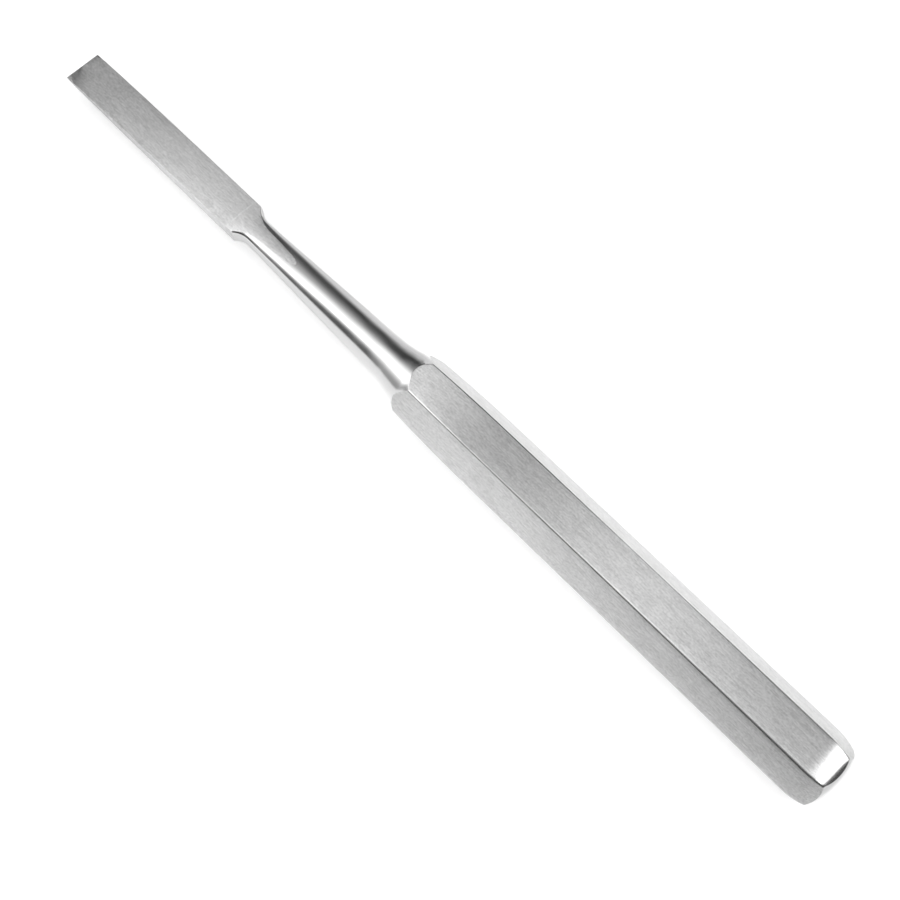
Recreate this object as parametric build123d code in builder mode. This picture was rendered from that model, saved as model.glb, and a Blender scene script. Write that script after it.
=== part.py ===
from build123d import *
import math
import os

# Osteotome with a hexagonal handle, one piece of stainless steel.
# Frame: the instrument lies on one flat of its handle. +Z is up, +X runs along
# the instrument towards the cutting edge, and the origin is below the middle of
# the overall length, on the surface that the handle lies on. Millimetres.

# ---------------------------------------------------------------- dimensions
overall_length = 205.0        # striking end to cutting edge

across_flats = 13.0           # hexagonal handle, flat to flat
handle_roll_in = 0.55         # how far each flat falls off where the neck begins
roll_in_length = 21.0         # length of that fall-off
roll_in_x = -20.0             # where it begins

end_roll_length = 5.9         # length over which the flats fall off at the striking end
end_roll_drop = 1.50          # how far they would fall at the very end

blade_length = 53.9           # cutting edge to shoulders
blade_width_edge = 8.25       # at the cutting edge
blade_width_root = 8.00       # at the shoulders
edge_land = 0.08              # thickness of the cutting edge itself

# half thickness of the blade against the distance from the cutting edge
blade_section = [(2.5, 0.40), (6.0, 0.70), (12.0, 1.02), (18.8, 1.27),
                 (30.8, 1.585), (42.0, 1.745)]
root_half_thickness = 1.835   # just ahead of the shoulders
root_x = 50.2
# The neck is flatter above and below than at its sides: half height against x.
# The first points lie clear of the flare, so only the rest shapes the neck.
neck_flat = [(4.5, 6.20), (9.0, 4.95), (12.0, 4.42), (15.0, 4.09), (18.0, 3.88),
             (22.2, 3.63), (26.5, 3.33), (31.0, 3.02), (37.5, 2.62), (42.0, 2.33),
             (44.0, 2.22), (46.5, 2.08)]

neck_radius = 2.95            # thinnest point, just behind the shoulders
shoulder_radius = 4.28        # concave radius of the shoulders
ridge_radius = 0.20           # the handle's six long ridges are lightly broken
# radius of the round neck against x, from the thin end to the flare
neck_profile = [(39.3, 3.09), (30.6, 3.49), (22.2, 3.89), (13.8, 4.25),
                (9.7, 4.45), (7.1, 4.70), (4.7, 5.06), (2.0, 5.55),
                (-0.1, 6.05), (-1.5, 6.50), (-2.9, 7.08), (-4.2, 7.75)]
flare_top = (-5.2, 8.35)      # the flare leaves the hexagon before this

# striking end: distance from the end against radius, a shallow dome with a
# quickly falling rim
dome_profile = [(0.13, 2.2), (0.56, 4.4), (1.03, 5.60), (1.46, 6.26), (2.12, 6.92)]
dome_rim = (3.6, 8.35)

# ------------------------------------------------------------ derived values
tip_x = overall_length / 2
butt_x = -overall_length / 2
shoulder_x = tip_x - blade_length
half_flat = across_flats / 2
axis_z = half_flat            # the axis lies half a hexagon above the surface
thin_x = shoulder_x - 3.2     # the shoulder's concave arc starts here
envelope_radius = dome_rim[1]


def plane_at(angle):
    """Plane through the axis, its local x along the instrument, its local y
    turned from vertical by the angle about the axis."""
    a = math.radians(angle)
    return Plane(origin=(0, 0, axis_z), x_dir=(1, 0, 0),
                 z_dir=(0, -math.cos(a), -math.sin(a)))


with BuildPart() as osteotome:

    # Side elevation: handle flats, then clear of the neck, then the blade's two
    # flats, which run out into the neck behind the shoulders and taper in a
    # gentle curve to the cutting edge.
    with BuildSketch(plane_at(0)) as side:
        with BuildLine():
            Line((butt_x - 0.5, 0), (butt_x - 0.5, half_flat - end_roll_drop))
            Line((butt_x - 0.5, half_flat - end_roll_drop),
                 (butt_x, half_flat - end_roll_drop))
            TangentArc((butt_x + end_roll_length, half_flat),
                       (butt_x, half_flat - end_roll_drop), tangent=(-1, 0))
            Line((butt_x + end_roll_length, half_flat), (roll_in_x, half_flat))
            TangentArc((roll_in_x, half_flat),
                       (roll_in_x + roll_in_length, half_flat - handle_roll_in),
                       tangent=(1, 0))
            Line((roll_in_x + roll_in_length, half_flat - handle_roll_in), neck_flat[0])
            Line(neck_flat[0], neck_flat[1])
            Spline(*neck_flat[1:], (root_x, root_half_thickness),
                   tangents=((1, -0.26), (1, -0.008)))
            Spline((root_x, root_half_thickness),
                   *[(tip_x - d, t) for d, t in reversed(blade_section)],
                   (tip_x, edge_land / 2),
                   tangents=((1, -0.008), (1, -0.19)))
            Line((tip_x, edge_land / 2), (tip_x, 0))
            mirror(about=Plane.XZ)
        make_face()
    extrude(amount=12, both=True)

    # The other four flats of the handle, with the same fall-off at both ends.
    for angle in (60, -60):
        with BuildSketch(plane_at(angle)) as flats:
            with BuildLine():
                Line((butt_x - 1, 0), (butt_x - 1, half_flat - end_roll_drop))
                Line((butt_x - 1, half_flat - end_roll_drop),
                     (butt_x, half_flat - end_roll_drop))
                TangentArc((butt_x + end_roll_length, half_flat),
                           (butt_x, half_flat - end_roll_drop), tangent=(-1, 0))
                Line((butt_x + end_roll_length, half_flat), (roll_in_x, half_flat))
                TangentArc((roll_in_x, half_flat),
                           (roll_in_x + roll_in_length, half_flat - handle_roll_in),
                           tangent=(1, 0))
                Line((roll_in_x + roll_in_length, half_flat - handle_roll_in),
                     (tip_x + 1, half_flat - handle_roll_in))
                Line((tip_x + 1, half_flat - handle_roll_in), (tip_x + 1, 0))
                mirror(about=Plane.XZ)
            make_face()
        extrude(amount=20, both=True, mode=Mode.INTERSECT)

    # Plan: only the blade is narrowed by it.
    with BuildSketch(Plane.XY) as plan:
        with BuildLine():
            step_x = shoulder_x - 1.7
            step_y = blade_width_root / 2
            Polyline((butt_x - 2, 0), (butt_x - 2, 9.5), (step_x, 9.5),
                     (step_x, step_y), (tip_x, blade_width_edge / 2),
                     (tip_x + 2, blade_width_edge / 2), (tip_x + 2, 0))
            mirror(about=Plane.XZ)
        make_face()
    extrude(amount=20, both=True, mode=Mode.INTERSECT)

    # Turned envelope: domed striking end, flare, round neck and the concave
    # shoulders. It cuts the hexagon in rounded arches.
    with BuildSketch(plane_at(0)) as turned:
        with BuildLine():
            Spline((butt_x, 0), *[(butt_x + e, r) for e, r in dome_profile],
                   (butt_x + dome_rim[0], dome_rim[1]),
                   tangents=((0, 1), (1, 0.85)))
            Line((butt_x + dome_rim[0], dome_rim[1]), flare_top)
            Spline(flare_top, *reversed(neck_profile), (thin_x, neck_radius),
                   tangents=((1, -0.62), (1, 0)))
            arc_x = shoulder_x + 0.55
            arc_r = neck_radius + shoulder_radius - math.sqrt(
                shoulder_radius ** 2 - (arc_x - thin_x) ** 2)
            TangentArc((thin_x, neck_radius), (arc_x, arc_r), tangent=(1, 0))
            Line((arc_x, arc_r), (arc_x + 0.2, 6.4))
            Line((arc_x + 0.2, 6.4), (tip_x + 3, 6.4))
            Line((tip_x + 3, 6.4), (tip_x + 3, 0))
            Line((tip_x + 3, 0), (butt_x, 0))
        make_face()
    revolve(axis=Axis((0, 0, axis_z), (1, 0, 0)), revolution_arc=360, mode=Mode.INTERSECT)

    # The six long ridges of the handle, with their curved ends.
    ridges = osteotome.edges().filter_by(Axis.X).filter_by(lambda e: e.length > 60)
    fillet(ridges, radius=ridge_radius)

osteotome.part.label = "osteotome"
os.makedirs("parts", exist_ok=True)
export_step(osteotome.part, "parts/osteotome.step")

box = osteotome.part.bounding_box()
print("solids", len(osteotome.part.solids()), "volume", round(osteotome.part.volume, 1),
      "box", box.min, box.max)
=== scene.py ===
import math

import bpy
import numpy as np
from mathutils import Matrix, Vector


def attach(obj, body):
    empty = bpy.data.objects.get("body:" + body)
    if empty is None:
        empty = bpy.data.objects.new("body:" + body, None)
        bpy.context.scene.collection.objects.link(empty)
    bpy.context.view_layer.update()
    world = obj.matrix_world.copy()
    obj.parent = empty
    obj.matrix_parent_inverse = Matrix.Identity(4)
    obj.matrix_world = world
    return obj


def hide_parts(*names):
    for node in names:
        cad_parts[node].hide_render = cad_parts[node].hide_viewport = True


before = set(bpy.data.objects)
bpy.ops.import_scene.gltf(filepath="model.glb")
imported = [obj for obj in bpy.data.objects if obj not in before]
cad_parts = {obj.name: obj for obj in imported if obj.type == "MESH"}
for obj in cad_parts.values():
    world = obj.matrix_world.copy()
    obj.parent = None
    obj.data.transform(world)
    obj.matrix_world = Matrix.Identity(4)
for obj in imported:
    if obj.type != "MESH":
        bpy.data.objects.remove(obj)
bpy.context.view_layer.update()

MM = 0.001
scene = bpy.context.scene

# =============================================================== measurements
# The same dimensions as the CAD model, in millimetres. The instrument's axis
# runs along X at half the handle's height; the cutting edge is at +X.
LENGTH = 205.0
TIP, BUTT = LENGTH / 2, -LENGTH / 2
HALF = 6.5
AXIS_Z = HALF
ROLL_IN, ROLL_IN_L, ROLL_IN_X = 0.55, 21.0, -20.0
END_ROLL_L, END_DROP = 5.9, 1.50
BLADE_L = 53.9
W_EDGE, W_ROOT = 8.25, 8.00
LAND = 0.08
SECTION = [(2.5, 0.40), (6.0, 0.70), (12.0, 1.02), (18.8, 1.27), (30.8, 1.585), (42.0, 1.745)]
ROOT_T = 1.835
NECK_R, SHOULDER_R = 2.95, 4.28
# the neck's section against x: half width, half height and squareness (2 is an
# ellipse); it is round beside the handle and flatter where it meets the blade
NECK = [(-4.2, 8.00, 7.72, 2.0), (-3.0, 7.60, 7.10, 2.0), (-2.0, 7.15, 6.63, 2.0),
        (-1.0, 6.75, 6.18, 2.0), (0.0, 6.40, 5.90, 2.0), (1.0, 6.05, 5.71, 2.0),
        (2.0, 5.72, 5.53, 2.0), (3.0, 5.43, 5.36, 2.0), (4.0, 5.18, 5.20, 2.0),
        (5.0, 4.96, 5.06, 2.0), (7.0, 4.70, 4.80, 2.0), (9.0, 4.50, 4.58, 2.0),
        (11.5, 4.33, 4.36, 2.0), (14.0, 4.19, 4.14, 2.0), (18.0, 4.03, 3.88, 2.02),
        (22.0, 3.875, 3.636, 2.06), (26.5, 3.69, 3.33, 2.17), (31.0, 3.498, 3.02, 2.32),
        (37.5, 3.218, 2.62, 2.63), (42.0, 3.045, 2.32, 2.95), (44.0, 2.975, 2.225, 3.2)]
FLARE = (-5.2, 8.35)
# the flare isn't quite round: how far along the axis it is moved in a direction,
# in degrees from sideways
FLARE_MOVE = [(0, -1.25), (12, -0.95), (24, -0.45), (36, -0.19), (60, -0.12), (85, -0.03), (97, -0.25),
              (108, -0.72), (118, -0.74), (150, -1.1), (180, -1.5)]
# half width of the brushed tongue on the neck, behind the blade
TONGUE = [(33.40, 0.0), (33.55, 0.30), (33.9, 0.50), (34.5, 0.69), (35.3, 0.84), (36.8, 0.99),
          (38.5, 1.14), (40.0, 1.24), (42.0, 1.33), (43.5, 1.41), (44.6, 1.62), (45.5, 1.94),
          (46.1, 2.25), (46.9, 2.72), (47.6, 3.16)]
# how much the blade's and tongue's faces are crowned across, 1/mm
ROUND = [(33.4, 0.050), (42.0, 0.050), (44.0, 0.045), (46.3, 0.033), (48.0, 0.020), (50.2, 0.012),
         (56.0, 0.0075), (70.0, 0.0055), (88.0, 0.0040), (98.0, 0.0010), (102.5, 0.0)]
DOME = [(0.13, 2.2), (0.56, 4.4), (1.03, 5.60), (1.46, 6.26), (2.12, 6.92)]
RIM = (3.6, 8.35)
SHOULDER = TIP - BLADE_L
THIN = SHOULDER - 3.2
STEP = SHOULDER - 1.7
BIG = 40.0


# ==================================================================== curves
def cubic(xs, ys, s0, s1):
    """Interpolating cubic with given end slopes, as a function on arrays."""
    x, y = np.asarray(xs, float), np.asarray(ys, float)
    n = len(x)
    h = np.diff(x)
    a = np.zeros((n, n))
    b = np.zeros(n)
    a[0, 0] = a[-1, -1] = 1.0
    b[0], b[-1] = s0, s1
    for i in range(1, n - 1):
        a[i, i - 1] = 1 / h[i - 1]
        a[i, i] = 2 * (1 / h[i - 1] + 1 / h[i])
        a[i, i + 1] = 1 / h[i]
        b[i] = 3 * ((y[i] - y[i - 1]) / h[i - 1] ** 2 + (y[i + 1] - y[i]) / h[i] ** 2)
    m = np.linalg.solve(a, b)

    def f(q):
        q = np.asarray(q, float)
        i = np.clip(np.searchsorted(x, q) - 1, 0, n - 2)
        t = (q - x[i]) / h[i]
        t2, t3 = t * t, t * t * t
        return ((2 * t3 - 3 * t2 + 1) * y[i] + (t3 - 2 * t2 + t) * h[i] * m[i]
                + (-2 * t3 + 3 * t2) * y[i + 1] + (t3 - t2) * h[i] * m[i + 1])
    return f


def arc_drop(s, length, drop):
    """How far a circular arc that starts level has dropped after s."""
    rad = (length ** 2 + drop ** 2) / (2 * drop)
    s = np.clip(s, 0, length * 1.3)
    return rad - np.sqrt(rad ** 2 - s ** 2)


_dome_e = cubic([0.0] + [r for _, r in DOME] + [RIM[1]], [0.0] + [e for e, _ in DOME] + [RIM[0]],
                0.0, 1 / 0.85)
_dr = np.linspace(0, RIM[1], 6001)
_de = np.maximum.accumulate(_dome_e(_dr))
_nx = [FLARE[0]] + [n[0] for n in NECK] + [THIN]
_wide = cubic(_nx, [FLARE[1]] + [n[1] for n in NECK] + [NECK_R], -0.35, 0.0)
_tall = cubic(_nx, [FLARE[1]] + [n[2] for n in NECK] + [2.18], -0.62, -0.02)
_blade = cubic([SHOULDER + 1.6] + [TIP - d for d, _ in reversed(SECTION)] + [TIP],
               [ROOT_T] + [t for _, t in reversed(SECTION)] + [LAND / 2], -0.008, -0.19)


def table(rows, k=1):
    return [r[0] for r in rows], [r[k] for r in rows]


def section(x):
    """The turned and ground envelope at x: half width, half height, squareness."""
    x = np.asarray(x, float)
    e = x - BUTT
    dome = np.interp(e, _de, _dr)
    d = np.clip(x - THIN, 0, SHOULDER_R * 0.999)
    arc = NECK_R + SHOULDER_R - np.sqrt(SHOULDER_R ** 2 - d ** 2)
    xn = np.clip(x, FLARE[0], THIN)
    wide = np.where(x < THIN, _wide(xn), arc)
    tall = np.where(x < THIN, _tall(xn), 2.18 - 0.02 * d)
    sq = np.interp(x, _nx + [46.3, 46.9, 47.5, 48.4, 48.9], [2.0] + [n[3] for n in NECK] + [3.5, 3.8, 4.3, 4.8, 5.2, 10.0])
    early = np.where(e < RIM[0], dome, RIM[1])
    wide = np.where(x < FLARE[0], early, wide)
    tall = np.where(x < FLARE[0], early, tall)
    far = x > SHOULDER + 0.55
    return np.where(far, BIG, wide), np.where(far, BIG, tall), np.where(x < FLARE[0], 2.0, sq)


_move = cubic([m[0] for m in FLARE_MOVE], [m[1] for m in FLARE_MOVE], 0.0, 0.0)


def envelope(x, al):
    """Radius of the envelope at x in direction al."""
    wide, tall, sq = section(x)
    c, s = np.abs(np.cos(al)), np.abs(np.sin(al))
    neck = ((c / wide) ** sq + (s / tall) ** sq) ** (-1 / sq)
    way = np.degrees(np.abs(np.arctan2(np.sin(al), np.cos(al))))
    g = np.clip((4.2 - x) / 2.8, 0, 1)
    xm = x + _move(way) * g * g * (3 - 2 * g)
    flare = np.where(xm < FLARE[0], FLARE[1] + 0.62 * (FLARE[0] - xm), _tall(np.clip(xm, FLARE[0], THIN)))
    k = np.clip((x - 3.0) / 3.0, 0, 1)
    k = k * k * (3 - 2 * k)
    return np.where(x < FLARE[0], neck, (1 - k) * flare + k * neck)


def end_falls(x):
    return (arc_drop(BUTT + END_ROLL_L - x, END_ROLL_L, END_DROP)
            + arc_drop(x - ROLL_IN_X, ROLL_IN_L, ROLL_IN))


def flats(x):
    """Half height over the handle's slanting flats."""
    return HALF - end_falls(np.minimum(x, ROLL_IN_X + ROLL_IN_L))


_crown = cubic([r[0] for r in ROUND], [r[1] for r in ROUND], 0.0, -0.0002)


def crown(x):
    """Crown of the upper and lower faces across their width, 1/mm."""
    return np.maximum(_crown(np.clip(x, ROUND[0][0], ROUND[-1][0])), 0.0)


def tongue(x):
    """Half width of the tongue, none before its tip."""
    return np.where(np.asarray(x) < TONGUE[0][0], -1.0, np.interp(x, *table(TONGUE)))


def _env_height(x, y):
    wide, tall, sq = section(x)
    return tall * (1 - np.clip(np.abs(y) / wide, 0, 0.999) ** sq) ** (1 / sq)


# Height of the faces' middle line: from the blade over the tongue to its tip
_tx = np.array([33.4, 36.0, 39.0, 42.0])
_th = np.array([float(_env_height(x, max(float(tongue(x)), 0)) + crown(x) * float(tongue(x)) ** 2) for x in _tx])
_th[0] += 0.012
_join = np.array([SHOULDER + 1.6, SHOULDER + 1.61])
_join = _blade(_join) + crown(_join) * 16
_root = cubic(list(_tx) + [44.0, 46.3, 48.0, SHOULDER + 1.6],
              list(_th) + [2.236, 2.142, 2.083, ROOT_T + 16 * float(crown(SHOULDER + 1.6))], -0.070, float(_join[1] - _join[0]) / 0.01)


def faces(x):
    """Half height over the middle of the upper and lower flats, tongues and bevels."""
    x = np.asarray(x, float)
    w = width(np.maximum(x, STEP + 0.01))
    t = np.where(x > SHOULDER + 1.6, _blade(np.clip(x, SHOULDER + 1.6, TIP)) + crown(x) * w ** 2,
                 np.where(x > _tx[0], _root(np.clip(x, _tx[0], SHOULDER + 1.6)),
                          _th[0] + 0.075 * (_tx[0] - x) + 0.0013 * (_tx[0] - x) ** 2))
    return np.minimum(flats(x), t)


def width(x):
    x = np.asarray(x, float)
    w = W_ROOT / 2 + (W_EDGE - W_ROOT) / 2 * (x - STEP) / (TIP - STEP)
    return np.where(x > STEP, w, BIG)


def smin(a, b, k):
    h = np.maximum(k - np.abs(a - b), 0) / k
    return np.minimum(a, b) - h * h * k * 0.25


RIDGE_K, ARCH_K, BLADE_K = 0.26, 0.06, 0.12
CROWN, CROWN_END = 0.055, 0.18      # the handle's flats are a hair lower beside the ridges


def reach(x, al):
    """Distance from the axis to the surface at station x in direction al
    (radians from +Y), and how far the turned surface is the one that shows."""
    def lim(v, c):
        c = np.abs(c)
        return np.where(c > 1e-4, v / np.maximum(c, 1e-4), BIG * 3)
    def crowned(h, to):
        """A flat whose normal points at the angle to, crowned across."""
        c = np.cos(al - to)
        lat = np.minimum(np.abs(h * np.sin(al - to) / np.maximum(np.abs(c), 0.2)) / 3.75, 1.3)
        fade = np.clip((8.0 - x) / 10.0, 0, 1)
        end = np.clip((-20.0 - x) / 75.0, 0, 1)
        return lim(h - fade * ((1 - end) * CROWN * lat ** 3 + end * CROWN_END * lat ** 4), c)
    t0 = crowned(faces(x), math.radians(90))
    # the blade's faces and the tongues are crowned: height = faces - crown * y^2
    h, s, c2 = faces(x), np.abs(np.sin(al)), crown(x) * np.cos(al) ** 2
    t0 = np.where(x > 30, 2 * h / np.maximum(s + np.sqrt(s * s + 4 * c2 * h), 1e-5), t0)
    t1 = crowned(flats(x), math.radians(30))
    t2 = crowned(flats(x), math.radians(150))
    hexa = smin(smin(t0, t1, RIDGE_K), t2, RIDGE_K)
    env = envelope(x, al)
    side = lim(width(x), np.cos(al))
    t = smin(smin(hexa, env, ARCH_K), side, BLADE_K)
    return t, polished(x, al, t, np.minimum(hexa, side) - env, t0, t1, t2)


def polished(x, al, t, gap, t0, t1, t2):
    """1 where the surface is polished, 0 where it is brushed."""
    by_gap = np.clip(gap / 0.03, 0, 1)
    order = np.sort(np.stack([t0, t1, t2], -1), -1)
    ridge = np.clip(1.15 - (order[..., 1] - order[..., 0]) / RIDGE_K, 0, 1) * 0.8
    by_gap = np.maximum(by_gap, np.where(x < 5, ridge, 0))
    upper = np.clip((np.abs(np.sin(al)) - 0.80) / 0.07, 0, 1)
    by_gap = np.maximum(by_gap, 0.85 * upper * np.clip((-97.3 - x) / 2.2, 0, 1))
    y = np.abs(t * np.cos(al))
    by_width = np.clip((y - tongue(x)) / 0.07 + 0.5, 0, 1)
    k = np.clip((x - 46.3) / 0.8, 0, 1)
    return np.where(x < 25, by_gap, np.where(x < 46.3, by_width, by_width * (1 - k) + by_gap * k))


# ================================================================== the mesh
def spread(pts, lo, hi, gap):
    p = np.clip(np.array(pts, float), lo, hi)
    n = len(p)
    for i in range(1, n):
        p[i] = max(p[i], p[i - 1] + gap)
    p[-1] = hi
    for i in range(n - 2, -1, -1):
        p[i] = min(p[i], p[i + 1] - gap)
    p[0] = lo
    return p


def half_sector(c):
    """15 steps from a face's middle to its ridge, gathered at the arch's edge."""
    d = 0.9
    even = np.linspace(0, 30, 16)
    near = spread(sorted([0, 0.3 * c, 0.6 * c, c - 2.6 * d, c - 1.2 * d, c - 0.4 * d, c + 0.4 * d, c + 1.2 * d,
                          c + 2.6 * d, 26.6, 28.1, 28.7, 29.05, 29.4, 29.7, 30.0]), 0, 30, 0.12)
    full = np.array([0, 5, 10, 15, 19.5, 23, 25.3, 26.6, 27.5, 28.1, 28.6, 28.95, 29.25, 29.5, 29.75, 30.0])
    k = min(max(c / 9.0, 0), 1)
    k = k * k * (3 - 2 * k)
    g = min(max((c - 26.0) / 3.5, 0), 1)
    return (1 - k) * even + k * ((1 - g) * near + g * full)


_dl = np.linspace(0, 30, 241)


def handle_ring(x):
    """180 directions: six faces, each half with its own arch's edge."""
    h = float(flats(x))
    row = []
    for face in range(30, 390, 60):
        for way in (-1, 1):
            gap = envelope(x, np.radians(face + way * _dl)) * np.cos(np.radians(_dl)) - h
            on = np.where(gap > 0)[0]
            c = 0.0 if len(on) == 0 else (30.0 if on[-1] == len(_dl) - 1 else float(_dl[on[-1]]))
            s = half_sector(c)
            row.append(face - s[::-1][:-1] if way < 0 else face + s[:-1])
    return np.concatenate(row)


def blade_quadrant(x):
    """20 steps over the side and 25 over the flat, gathered at the edge."""
    h = float(faces(x))
    w = float(width(x))
    tw = float(tongue(x))
    if x < 46.3:
        yc = max(tw, 0.45)
    else:
        al = np.radians(np.linspace(5, 90, 600))
        hx = np.minimum(h / np.sin(al), BIG)
        y = hx * np.cos(al)
        z = h - float(crown(x)) * np.minimum(y, 4.3) ** 2
        inside = np.hypot(y, z) < envelope(x, np.arctan2(z, y))
        yc = min(float(y[np.argmax(inside)]), w)
    h = h - float(crown(x)) * yc ** 2
    if x < 46.3:
        h = min(h, float(_env_height(x, yc)))
    psi = math.atan2(h, yc)
    off = np.array([0.0, 0.012, 0.03, 0.06, 0.12, 0.25])
    size = max(psi * math.hypot(h, yc), 1e-6)
    near = np.minimum(off / size, np.linspace(0, 0.5, 6))
    g = 1 - near[::-1]
    rest = np.linspace(0, g[0], 16)
    side = np.concatenate([rest[:-1], g]) * psi             # 21 angles
    near = np.minimum(off / yc, np.linspace(0, 0.4, 6))
    rest = np.linspace(near[-1], 1, 21)
    y = yc * (1 - np.concatenate([near, rest[1:]]))         # 26 places
    top = np.arctan2(h, y)
    q = np.degrees(np.concatenate([side, top[1:]]))
    q[-1] = 90.0
    return q


def blade_ring(x):
    q = blade_quadrant(x)
    return np.concatenate([q[:-1], 180 - q[::-1][:-1], 180 + q[:-1], 360 - q[::-1][:-1]])


def ring(x):
    k = min(max((x - 5.0) / 22.0, 0.0), 1.0)
    k = k * k * (3 - 2 * k)
    if k <= 0:
        return handle_ring(x)
    if k >= 1:
        return blade_ring(x)
    return (1 - k) * handle_ring(x) + k * blade_ring(x)


def smooth_rows(q, passes):
    q = q.copy()
    for _ in range(passes):
        q[1:-1] = 0.25 * q[:-2] + 0.5 * q[1:-1] + 0.25 * q[2:]
    return q


# Stations along the axis, close together where an edge crosses the rings.
st = [BUTT + float(_dome_e(r)) for r in np.linspace(0.12, 5.0, 18)]


def run_to(x1, n):
    st.extend(np.linspace(st[-1], x1, n + 1)[1:])


run_to(BUTT + 2.6, 56)
run_to(BUTT + 6.2, 22)
run_to(-21.0, 14)
run_to(-4.2, 18)
run_to(1.3, 130)
run_to(10.0, 22)
run_to(31.0, 18)
run_to(33.2, 8)
run_to(34.1, 30)
run_to(36.0, 14)
run_to(44.0, 24)
run_to(48.0, 40)
run_to(48.8, 28)
run_to(52.0, 16)
run_to(95.0, 36)
run_to(TIP, 44)
st = np.array(st)

ang = np.array([ring(x) for x in st])
# where the columns lead from one layout to the other, they turn gently
for a, b, passes in ((3.0, 44.0, 6), (44.5, 48.1, 4), (-6.5, 4.0, 3), (BUTT, -94.0, 2)):
    calm = np.where((st > a) & (st < b))[0]
    ang[calm[0]:calm[-1] + 1] = smooth_rows(ang[calm[0]:calm[-1] + 1], passes)
NQ = ang.shape[1] // 4
ANG = np.radians(ang)
NR, NC = ANG.shape
X = np.repeat(st[:, None], NC, 1)


def surface(x, al):
    t, show = reach(x, al)
    return np.stack([x, t * np.cos(al), AXIS_Z + t * np.sin(al)], -1), show


P, SHOW = surface(X, ANG)
# Exact normals, from small steps along and around.
ea = 1e-4
Pa = surface(X, ANG + ea)[0] - surface(X, ANG - ea)[0]
ex = np.where(X - BUTT < 0.3, 0.15 * np.maximum(X - BUTT, 1e-4), 0.004)
lo_x = np.maximum(X - ex, BUTT + 1e-7)
hi_x = np.minimum(X + ex, TIP)
Px = surface(hi_x, ANG)[0] - surface(lo_x, ANG)[0]
N = np.cross(Pa, Px)
N /= np.maximum(np.linalg.norm(N, axis=-1, keepdims=True), 1e-12)
out = np.sum(N[..., 1:] * np.stack([np.cos(ANG), np.sin(ANG)], -1), -1)
if np.median(out) < 0:
    N = -N

verts = [tuple(p * MM) for p in P.reshape(-1, 3)]
norms = [tuple(n) for n in N.reshape(-1, 3)]
show = SHOW.reshape(-1)


def vid(i, j):
    return i * NC + (j % NC)


polys = []
for i in range(NR - 1):
    for j in range(NC):
        polys.append((vid(i, j), vid(i, j + 1), vid(i + 1, j + 1), vid(i + 1, j)))
pole = len(verts)
verts.append((BUTT * MM, 0.0, AXIS_Z * MM))
norms.append((-1.0, 0.0, 0.0))
for j in range(NC):
    polys.append((pole, vid(0, j + 1), vid(0, j)))
# the cutting edge's own thin land, square to the axis
land0 = len(polys)
last = (NR - 1) * NC
half = 2 * NQ
for j in range(half):
    f = []
    for v in (last + j, last + j + 1, last + (NC - j - 1) % NC, last + (NC - j) % NC):
        if v not in f:
            f.append(v)
    if len(f) > 2:
        polys.append(tuple(f[::-1]))

mesh = bpy.data.meshes.new("osteotome_detailed")
mesh.from_pydata(verts, [], polys)
mesh.update()
if mesh.polygons[NC * 10].normal.dot(Vector(norms[polys[NC * 10][0]])) < 0:
    mesh.flip_normals()
    mesh.update()
for p in mesh.polygons:
    p.use_smooth = True
corner = []
for p in mesh.polygons:
    for v in p.vertices:
        corner.append((1.0, 0.0, 0.0) if p.index >= land0 else norms[v])
mesh.normals_split_custom_set(corner)

polish = np.zeros(len(verts))
polish[:len(show)] = show
polish[pole] = 1
att = mesh.attributes.new("polish", "FLOAT", "POINT")
att.data.foreach_set("value", polish.astype(np.float32))

body = bpy.data.objects.new("osteotome_steel", mesh)
scene.collection.objects.link(body)


# ================================================================== materials
class Nodes:
    def __init__(self, tree):
        self.t = tree

    def new(self, kind, **kw):
        n = self.t.nodes.new(kind)
        for k, v in kw.items():
            setattr(n, k, v)
        return n

    def link(self, a, b):
        self.t.links.new(a, b)

    def math(self, op, a, b=None, c=None, clamp=False):
        n = self.new("ShaderNodeMath", operation=op, use_clamp=clamp)
        for i, v in enumerate((a, b, c)):
            if v is None:
                continue
            if isinstance(v, (int, float)):
                n.inputs[i].default_value = v
            else:
                self.link(v, n.inputs[i])
        return n.outputs[0]

    def noise(self, vec, scale, detail=2.0, rough=0.5, dist=0.0):
        n = self.new("ShaderNodeTexNoise")
        n.inputs["Scale"].default_value = scale
        n.inputs["Detail"].default_value = detail
        n.inputs["Roughness"].default_value = rough
        n.inputs["Distortion"].default_value = dist
        self.link(vec, n.inputs["Vector"])
        return n.outputs["Fac"]

    def mapped(self, vec, scale, loc=(0, 0, 0)):
        n = self.new("ShaderNodeMapping")
        n.inputs["Scale"].default_value = scale
        n.inputs["Location"].default_value = loc
        self.link(vec, n.inputs["Vector"])
        return n.outputs[0]

    def remap(self, v, a, b, c, d, smooth=False):
        n = self.new("ShaderNodeMapRange")
        if smooth:
            n.interpolation_type = "SMOOTHSTEP"
        self.link(v, n.inputs["Value"])
        for k, q in zip(("From Min", "From Max", "To Min", "To Max"), (a, b, c, d)):
            n.inputs[k].default_value = q
        return n.outputs[0]

    def mix(self, f, a, b):
        n = self.new("ShaderNodeMix", data_type="FLOAT")
        for s, v in ((n.inputs[0], f), (n.inputs[2], a), (n.inputs[3], b)):
            if isinstance(v, (int, float)):
                s.default_value = v
            else:
                self.link(v, s)
        return n.outputs[0]


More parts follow.
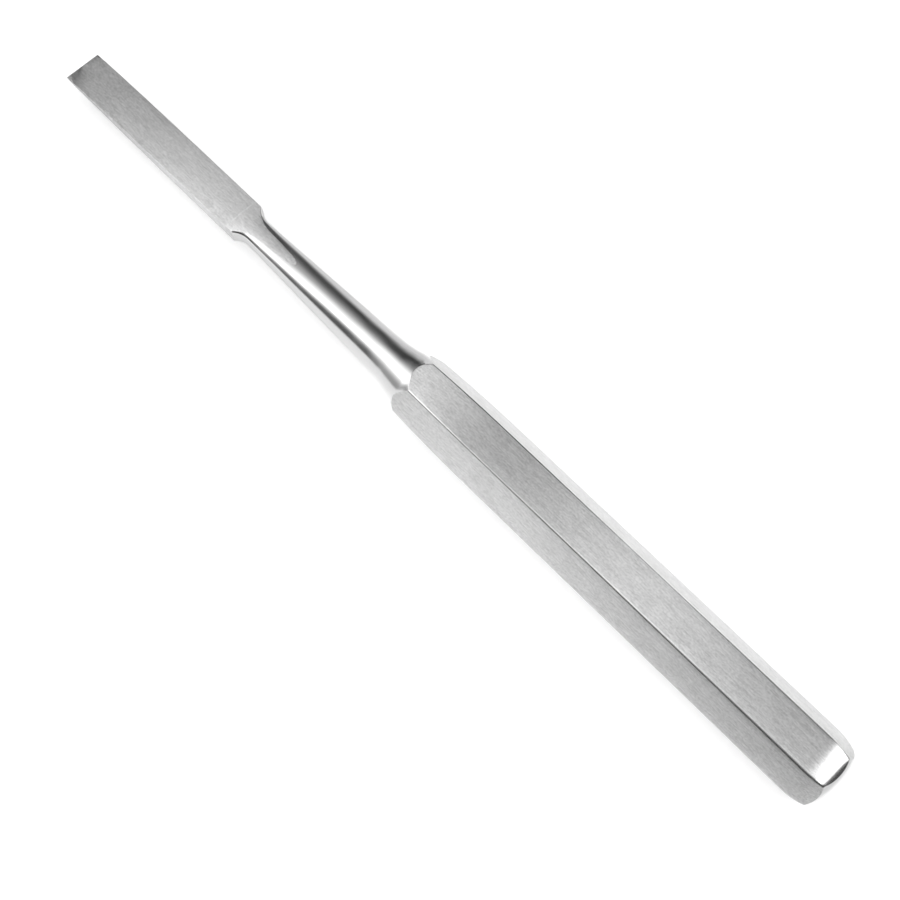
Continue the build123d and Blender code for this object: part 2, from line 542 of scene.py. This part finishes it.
steel = bpy.data.materials.new("steel_brushed_and_polished")
steel.use_nodes = True
nt = steel.node_tree
nt.nodes.clear()
N_ = Nodes(nt)
outp = N_.new("ShaderNodeOutputMaterial")
bsdf = N_.new("ShaderNodeBsdfPrincipled")
N_.link(bsdf.outputs[0], outp.inputs["Surface"])
bsdf.inputs["Metallic"].default_value = 1.0
bsdf.inputs["Anisotropic"].default_value = 0.85
tan = N_.new("ShaderNodeTangent", direction_type="RADIAL", axis="X")
N_.link(tan.outputs[0], bsdf.inputs["Tangent"])

coord = N_.new("ShaderNodeTexCoord").outputs["Object"]
pol = N_.new("ShaderNodeAttribute", attribute_name="polish").outputs["Fac"]

# lengthwise brushing: hair-fine lines, broken up every few millimetres
fine = N_.noise(N_.mapped(coord, (520.0, 6500.0, 6500.0)), 1.0, 2.0, 0.6)
mid = N_.noise(N_.mapped(coord, (150.0, 2600.0, 2600.0)), 1.0, 3.0, 0.6)
broad = N_.noise(N_.mapped(coord, (160.0, 400.0, 400.0)), 1.0, 3.0, 0.55)
dust = N_.noise(N_.mapped(coord, (2300.0, 4600.0, 4600.0)), 1.0, 1.0, 0.5)
grain = N_.math("ADD", N_.math("MULTIPLY", fine, 0.48), N_.math("MULTIPLY", mid, 0.14))
grain = N_.math("ADD", grain, N_.math("MULTIPLY", dust, 0.38))
matt = N_.math("SUBTRACT", 1.0, pol, clamp=True)

tone = N_.remap(grain, 0.36, 0.64, 0.50, 0.78)
along = N_.new("ShaderNodeSeparateXYZ")
N_.link(coord, along.inputs[0])
# the steel is a little lighter from the tongue onto the blade's root, and painted darker towards the cutting edge:
# painted shade where the blade's faces turn away from the light
tone = N_.math("ADD", tone, N_.remap(along.outputs["X"], 0.030, 0.055, 0.0, 0.075))
# painted shade: the blade's colour darkens towards the cutting edge
tone = N_.math("SUBTRACT", tone, N_.remap(along.outputs["X"], 0.062, 0.101, 0.0, 0.27))
tone = N_.math("ADD", tone, N_.math("MULTIPLY", N_.math("SUBTRACT", broad, 0.5), 0.10))
tone = N_.mix(pol, tone, 0.70)
colour = N_.new("ShaderNodeCombineColor")
for s in colour.inputs[:3]:
    N_.link(tone, s)
N_.link(colour.outputs[0], bsdf.inputs["Base Color"])

rough_b = N_.remap(mid, 0.3, 0.7, 0.31, 0.38)
rough_p = N_.remap(broad, 0.3, 0.7, 0.10, 0.15)
N_.link(N_.mix(pol, rough_b, rough_p), bsdf.inputs["Roughness"])

bump = N_.new("ShaderNodeBump")
bump.inputs["Distance"].default_value = 0.00001
N_.link(N_.mix(pol, 0.26, 0.02), bump.inputs["Strength"])
N_.link(grain, bump.inputs["Height"])
N_.link(bump.outputs[0], bsdf.inputs["Normal"])
mesh.materials.append(steel)

# ====================================================================== stage
floor_m = bpy.data.meshes.new("floor")
s = 3.0
floor_m.from_pydata([(-s, -s, 0), (s, -s, 0), (s, s, 0), (-s, s, 0)], [], [(0, 1, 2, 3)])
floor = bpy.data.objects.new("floor", floor_m)
floor.location = (0, 0, -0.00002)
scene.collection.objects.link(floor)
fm = bpy.data.materials.new("floor_white")
fm.use_nodes = True
fb = fm.node_tree.nodes["Principled BSDF"]
fb.inputs["Base Color"].default_value = (0.9, 0.9, 0.9, 1)
fb.inputs["Roughness"].default_value = 0.9
fb.inputs["Specular IOR Level"].default_value = 0.0
fb.inputs["Emission Color"].default_value = (1, 1, 1, 1)
# painted light: the floor's glow as the steel mirrors it is painted brighter and darker by place, darker beside the
# neck and beyond both ends; the camera sees the floor evenly bright
F_ = Nodes(fm.node_tree)
fy = F_.new("ShaderNodeSeparateXYZ")
F_.link(F_.new("ShaderNodeTexCoord").outputs["Object"], fy.inputs[0])
across_x = fy.outputs["X"]
far_side = F_.math("ADD", F_.remap(across_x, 0.030, 0.010, 0.08, 0.24), F_.remap(across_x, 0.022, 0.006, 0.0, 0.48))
far_side = F_.math("SUBTRACT", far_side, F_.remap(across_x, -0.020, -0.100, 0.0, 0.16))
near_side = F_.math("ADD", F_.remap(across_x, 0.050, 0.004, 0.20, 0.36), F_.remap(across_x, 0.014, 0.003, 0.0, 0.33))
near_side = F_.math("SUBTRACT", near_side, F_.remap(across_x, 0.000, -0.090, 0.0, 0.31))
near_side = F_.math("ADD", near_side, F_.remap(across_x, 0.050, 0.062, 0.0, 0.17))
beyond = F_.math("MULTIPLY", F_.remap(fy.outputs["Y"], 0.014, 0.034, 0.0, 0.75), F_.remap(across_x, -0.030, -0.095, 0.0, 1.0))
near_side = F_.math("MULTIPLY", near_side, F_.math("SUBTRACT", 1.0, beyond))
# painted light: the floor's glow in the steel's reflections, brighter and darker by place
painted_floor_glow = F_.mix(F_.remap(fy.outputs["Y"], -0.004, 0.012, 0.0, 1.0), far_side, near_side)
painted_floor_glow = F_.math("MULTIPLY", painted_floor_glow, F_.remap(across_x, -0.100, -0.112, 1.0, 0.22))
# the floor glows evenly for the camera and with the painted glow for the rays the steel reflects
F_.link(F_.mix(F_.new("ShaderNodeLightPath").outputs["Is Camera Ray"], painted_floor_glow, 0.42), fb.inputs["Emission Strength"])
floor_m.materials.append(fm)

# A studio tent, white all round with darker gaps: the long softbox beside the
# instrument, one beyond its striking end, two strips overhead. A direction is
# given by q, its lean towards +X, and y, its angle from overhead towards +Y.
world = bpy.data.worlds.new("studio")
scene.world = world
world.use_nodes = True
wt = world.node_tree
wt.nodes.clear()
W = Nodes(wt)
sep = W.new("ShaderNodeSeparateXYZ")
W.link(W.new("ShaderNodeTexCoord").outputs["Generated"], sep.inputs[0])
dx, dy, dz = sep.outputs
yz = W.math("SQRT", W.math("ADD", W.math("MULTIPLY", dy, dy), W.math("MULTIPLY", dz, dz)))
q_ = W.math("DIVIDE", dx, W.math("MAXIMUM", yz, 0.001))
y_ = W.math("MULTIPLY", W.math("ARCTAN2", dy, dz), 180 / math.pi)


def rise(v, at, soft):
    return W.remap(v, at - soft, at + soft, 0.0, 1.0, smooth=True)


def fall(v, at, soft):
    return W.remap(v, at - soft, at + soft, 1.0, 0.0, smooth=True)


def times(*v):
    out_v = v[0]
    for w in v[1:]:
        out_v = W.math("MULTIPLY", out_v, w)
    return out_v


def ramp(v, lo, hi, stops, top):
    """A curve through (position, brightness) stops."""
    n = W.new("ShaderNodeValToRGB")
    cr = n.color_ramp
    while len(cr.elements) < len(stops):
        cr.elements.new(0.5)
    for el, (at, val) in zip(cr.elements, stops):
        el.position = (at - lo) / (hi - lo)
        el.color = (val / top,) * 3 + (1,)
    W.link(W.remap(v, lo, hi, 0.0, 1.0), n.inputs["Fac"])
    return W.math("MULTIPLY", n.outputs["Color"], top)


# beyond the middle of the handle: the long box, fading in from overhead, and
# a white wall low on the other side
high_a = ramp(y_, -90.0, 90.0, [(-90, 0.80), (-80, 0.62), (-72, 0.22), (-64, 0.07), (-56, 0.045), (-48, 0.07),
                                (-40, 0.14), (-30, 0.27), (-20, 0.42), (-10, 0.60), (0, 0.92), (10, 1.36), (20, 1.95),
                                (39, 1.95), (47, 0.80), (55, 0.26), (63, 0.10), (76, 0.06), (84, 0.13), (90, 0.50)], 2.5)
high_b = ramp(y_, -90.0, 90.0, [(-90, 0.86), (-80, 0.72), (-70, 0.46), (-62, 0.20), (-54, 0.08), (-46, 0.05), (-38, 0.05),
                                (-30, 0.10), (-20, 0.34), (-10, 0.72), (0, 1.3), (10, 1.6), (20, 1.95), (39, 1.95),
                                (45, 1.3), (52, 0.85), (60, 0.56), (70, 0.40), (80, 0.34), (90, 0.50)], 2.5)
high_c = ramp(y_, -90.0, 90.0, [(-90, 0.86), (-80, 0.75), (-68, 0.50), (-58, 0.22), (-48, 0.10), (-36, 0.12), (-25, 0.42),
                                (-10, 0.85), (0, 1.4), (10, 1.85), (20, 1.95), (44, 1.95), (54, 1.1), (66, 0.62),
                                (78, 0.5), (90, 0.7)], 2.5)
high = W.mix(rise(q_, 0.62, 0.09), high_a, high_b)
high = W.mix(rise(q_, 0.98, 0.14), high, high_c)
# beside its other half
low = ramp(y_, -90.0, 90.0, [(-90, 1.3), (-80, 1.25), (-73, 0.9), (-66, 0.25), (-58, 0.08), (-48, 0.09), (-40, 0.25),
                             (-30, 0.36), (-20, 0.36), (-8, 0.70), (4, 1.4), (24, 1.5), (34, 1.0), (46, 0.3), (60, 0.05),
                             (90, 0.02)], 2.5)
k_ = rise(q_, 0.21, 0.05)
sides = W.math("ADD", times(high, k_), times(low, W.math("SUBTRACT", 1.0, k_)))
sides = times(sides, rise(q_, -0.62, 0.35))
# the tent's far end is darker, and so is the gap between the two halves
far = ramp(q_, 0.5, 4.0, [(0.5, 0.0), (0.62, 0.0), (0.70, 0.10), (0.80, 0.32), (0.90, 0.46), (1.0, 0.55), (1.3, 0.58),
                          (1.6, 0.52), (2.2, 0.35), (4.0, 0.20)], 1.0)
sides = times(sides, W.math("SUBTRACT", 1.0, times(far, fall(y_, -14.0, 14.0))))
gap = ramp(q_, -0.5, 0.6, [(-0.5, 0.0), (-0.25, 0.0), (-0.12, 0.06), (-0.02, 0.22), (0.03, 0.12), (0.07, 0.0),
                           (0.11, 0.0), (0.17, 0.25), (0.22, 0.44), (0.32, 0.44), (0.38, 0.16), (0.42, 0.0), (0.6, 0.0)], 1.0)
sides = times(sides, W.math("SUBTRACT", 1.0, times(gap, fall(y_, 52.0, 6.0))))
sides = times(sides, W.math("SUBTRACT", 1.0, times(fall(q_, 0.02, 0.08), rise(y_, 16.0, 12.0), 0.5)))
strip_a = times(rise(q_, 0.37, 0.03), fall(q_, 0.50, 0.03), rise(y_, -32.0, 9.0), fall(y_, 10.0, 10.0), 0.85)
strip_c = times(rise(q_, 0.37, 0.03), fall(q_, 0.52, 0.03), rise(y_, -10.0, 8.0), fall(y_, 22.0, 8.0), 0.6)
strip_b = times(rise(q_, 0.05, 0.02), fall(q_, 0.16, 0.02), rise(y_, -50.0, 14.0), fall(y_, 8.0, 10.0), 1.0)
turn = W.remap(y_, -22.0, -8.0, -7.0, 7.0)
slant = W.math("ADD", q_, W.math("MULTIPLY", turn, 0.020))
back = times(fall(slant, -0.425, 0.06), rise(q_, -0.88, 0.04), fall(y_, 30.0, 12.0), rise(y_, -52.0, 12.0), 2.4)
fill = times(fall(q_, -0.16, 0.10), rise(q_, -0.60, 0.12), fall(y_, 20.0, 12.0), rise(y_, -60.0, 12.0), 0.32)
# soft light at both ends, seen when the instrument is looked at lengthwise
sides = times(sides, W.math("SUBTRACT", 1.0, times(rise(q_, 2.3, 1.6), 0.45)))
ends = times(ramp(W.math("MULTIPLY", q_, -1.0), 0.0, 8.0, [(0.0, 0.0), (0.85, 0.0), (0.95, 0.03), (1.3, 0.10), (2.0, 0.21), (3.2, 0.42), (5.0, 0.62),
                                                          (8.0, 0.75)], 1.0), 1.0)
total = W.math("ADD", sides, 0.02)
for part in (strip_a, strip_b, strip_c, back, fill, ends):
    total = W.math("ADD", total, part)
seen = W.new("ShaderNodeLightPath").outputs["Is Camera Ray"]
bg = W.new("ShaderNodeBackground")
bg.inputs["Color"].default_value = (1, 1, 1, 1)
W.link(W.mix(seen, total, 1.0), bg.inputs["Strength"])
W.link(bg.outputs[0], W.new("ShaderNodeOutputWorld").inputs["Surface"])

# ===================================================================== camera
cam = bpy.data.cameras.new("camera")
cam.sensor_fit = "HORIZONTAL"
cam.sensor_width = 36.0
cam.lens = 1277.378 / 900 * 36.0
cam.clip_start, cam.clip_end = 0.01, 20
co = bpy.data.objects.new("camera", cam)
scene.collection.objects.link(co)
right = Vector((-0.691544733, -0.721673422, -0.030326462))
down = Vector((-0.666244790, 0.653522708, -0.359155216))
ahead = Vector((0.279022908, -0.228176154, -0.932781689))
rot = Matrix((right, -down, -ahead)).transposed().to_4x4()
place = Vector((22.17706 - 102.5, 58.42258, 219.98155 + AXIS_Z)) * MM
co.matrix_world = Matrix.Translation(place) @ rot
scene.camera = co

scene.view_settings.view_transform = "Standard"
scene.view_settings.look = "None"
scene.view_settings.exposure = 0.0
scene.view_settings.gamma = 1.0

# ===================================================================== finish
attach(body, "root")
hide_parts("osteotome")
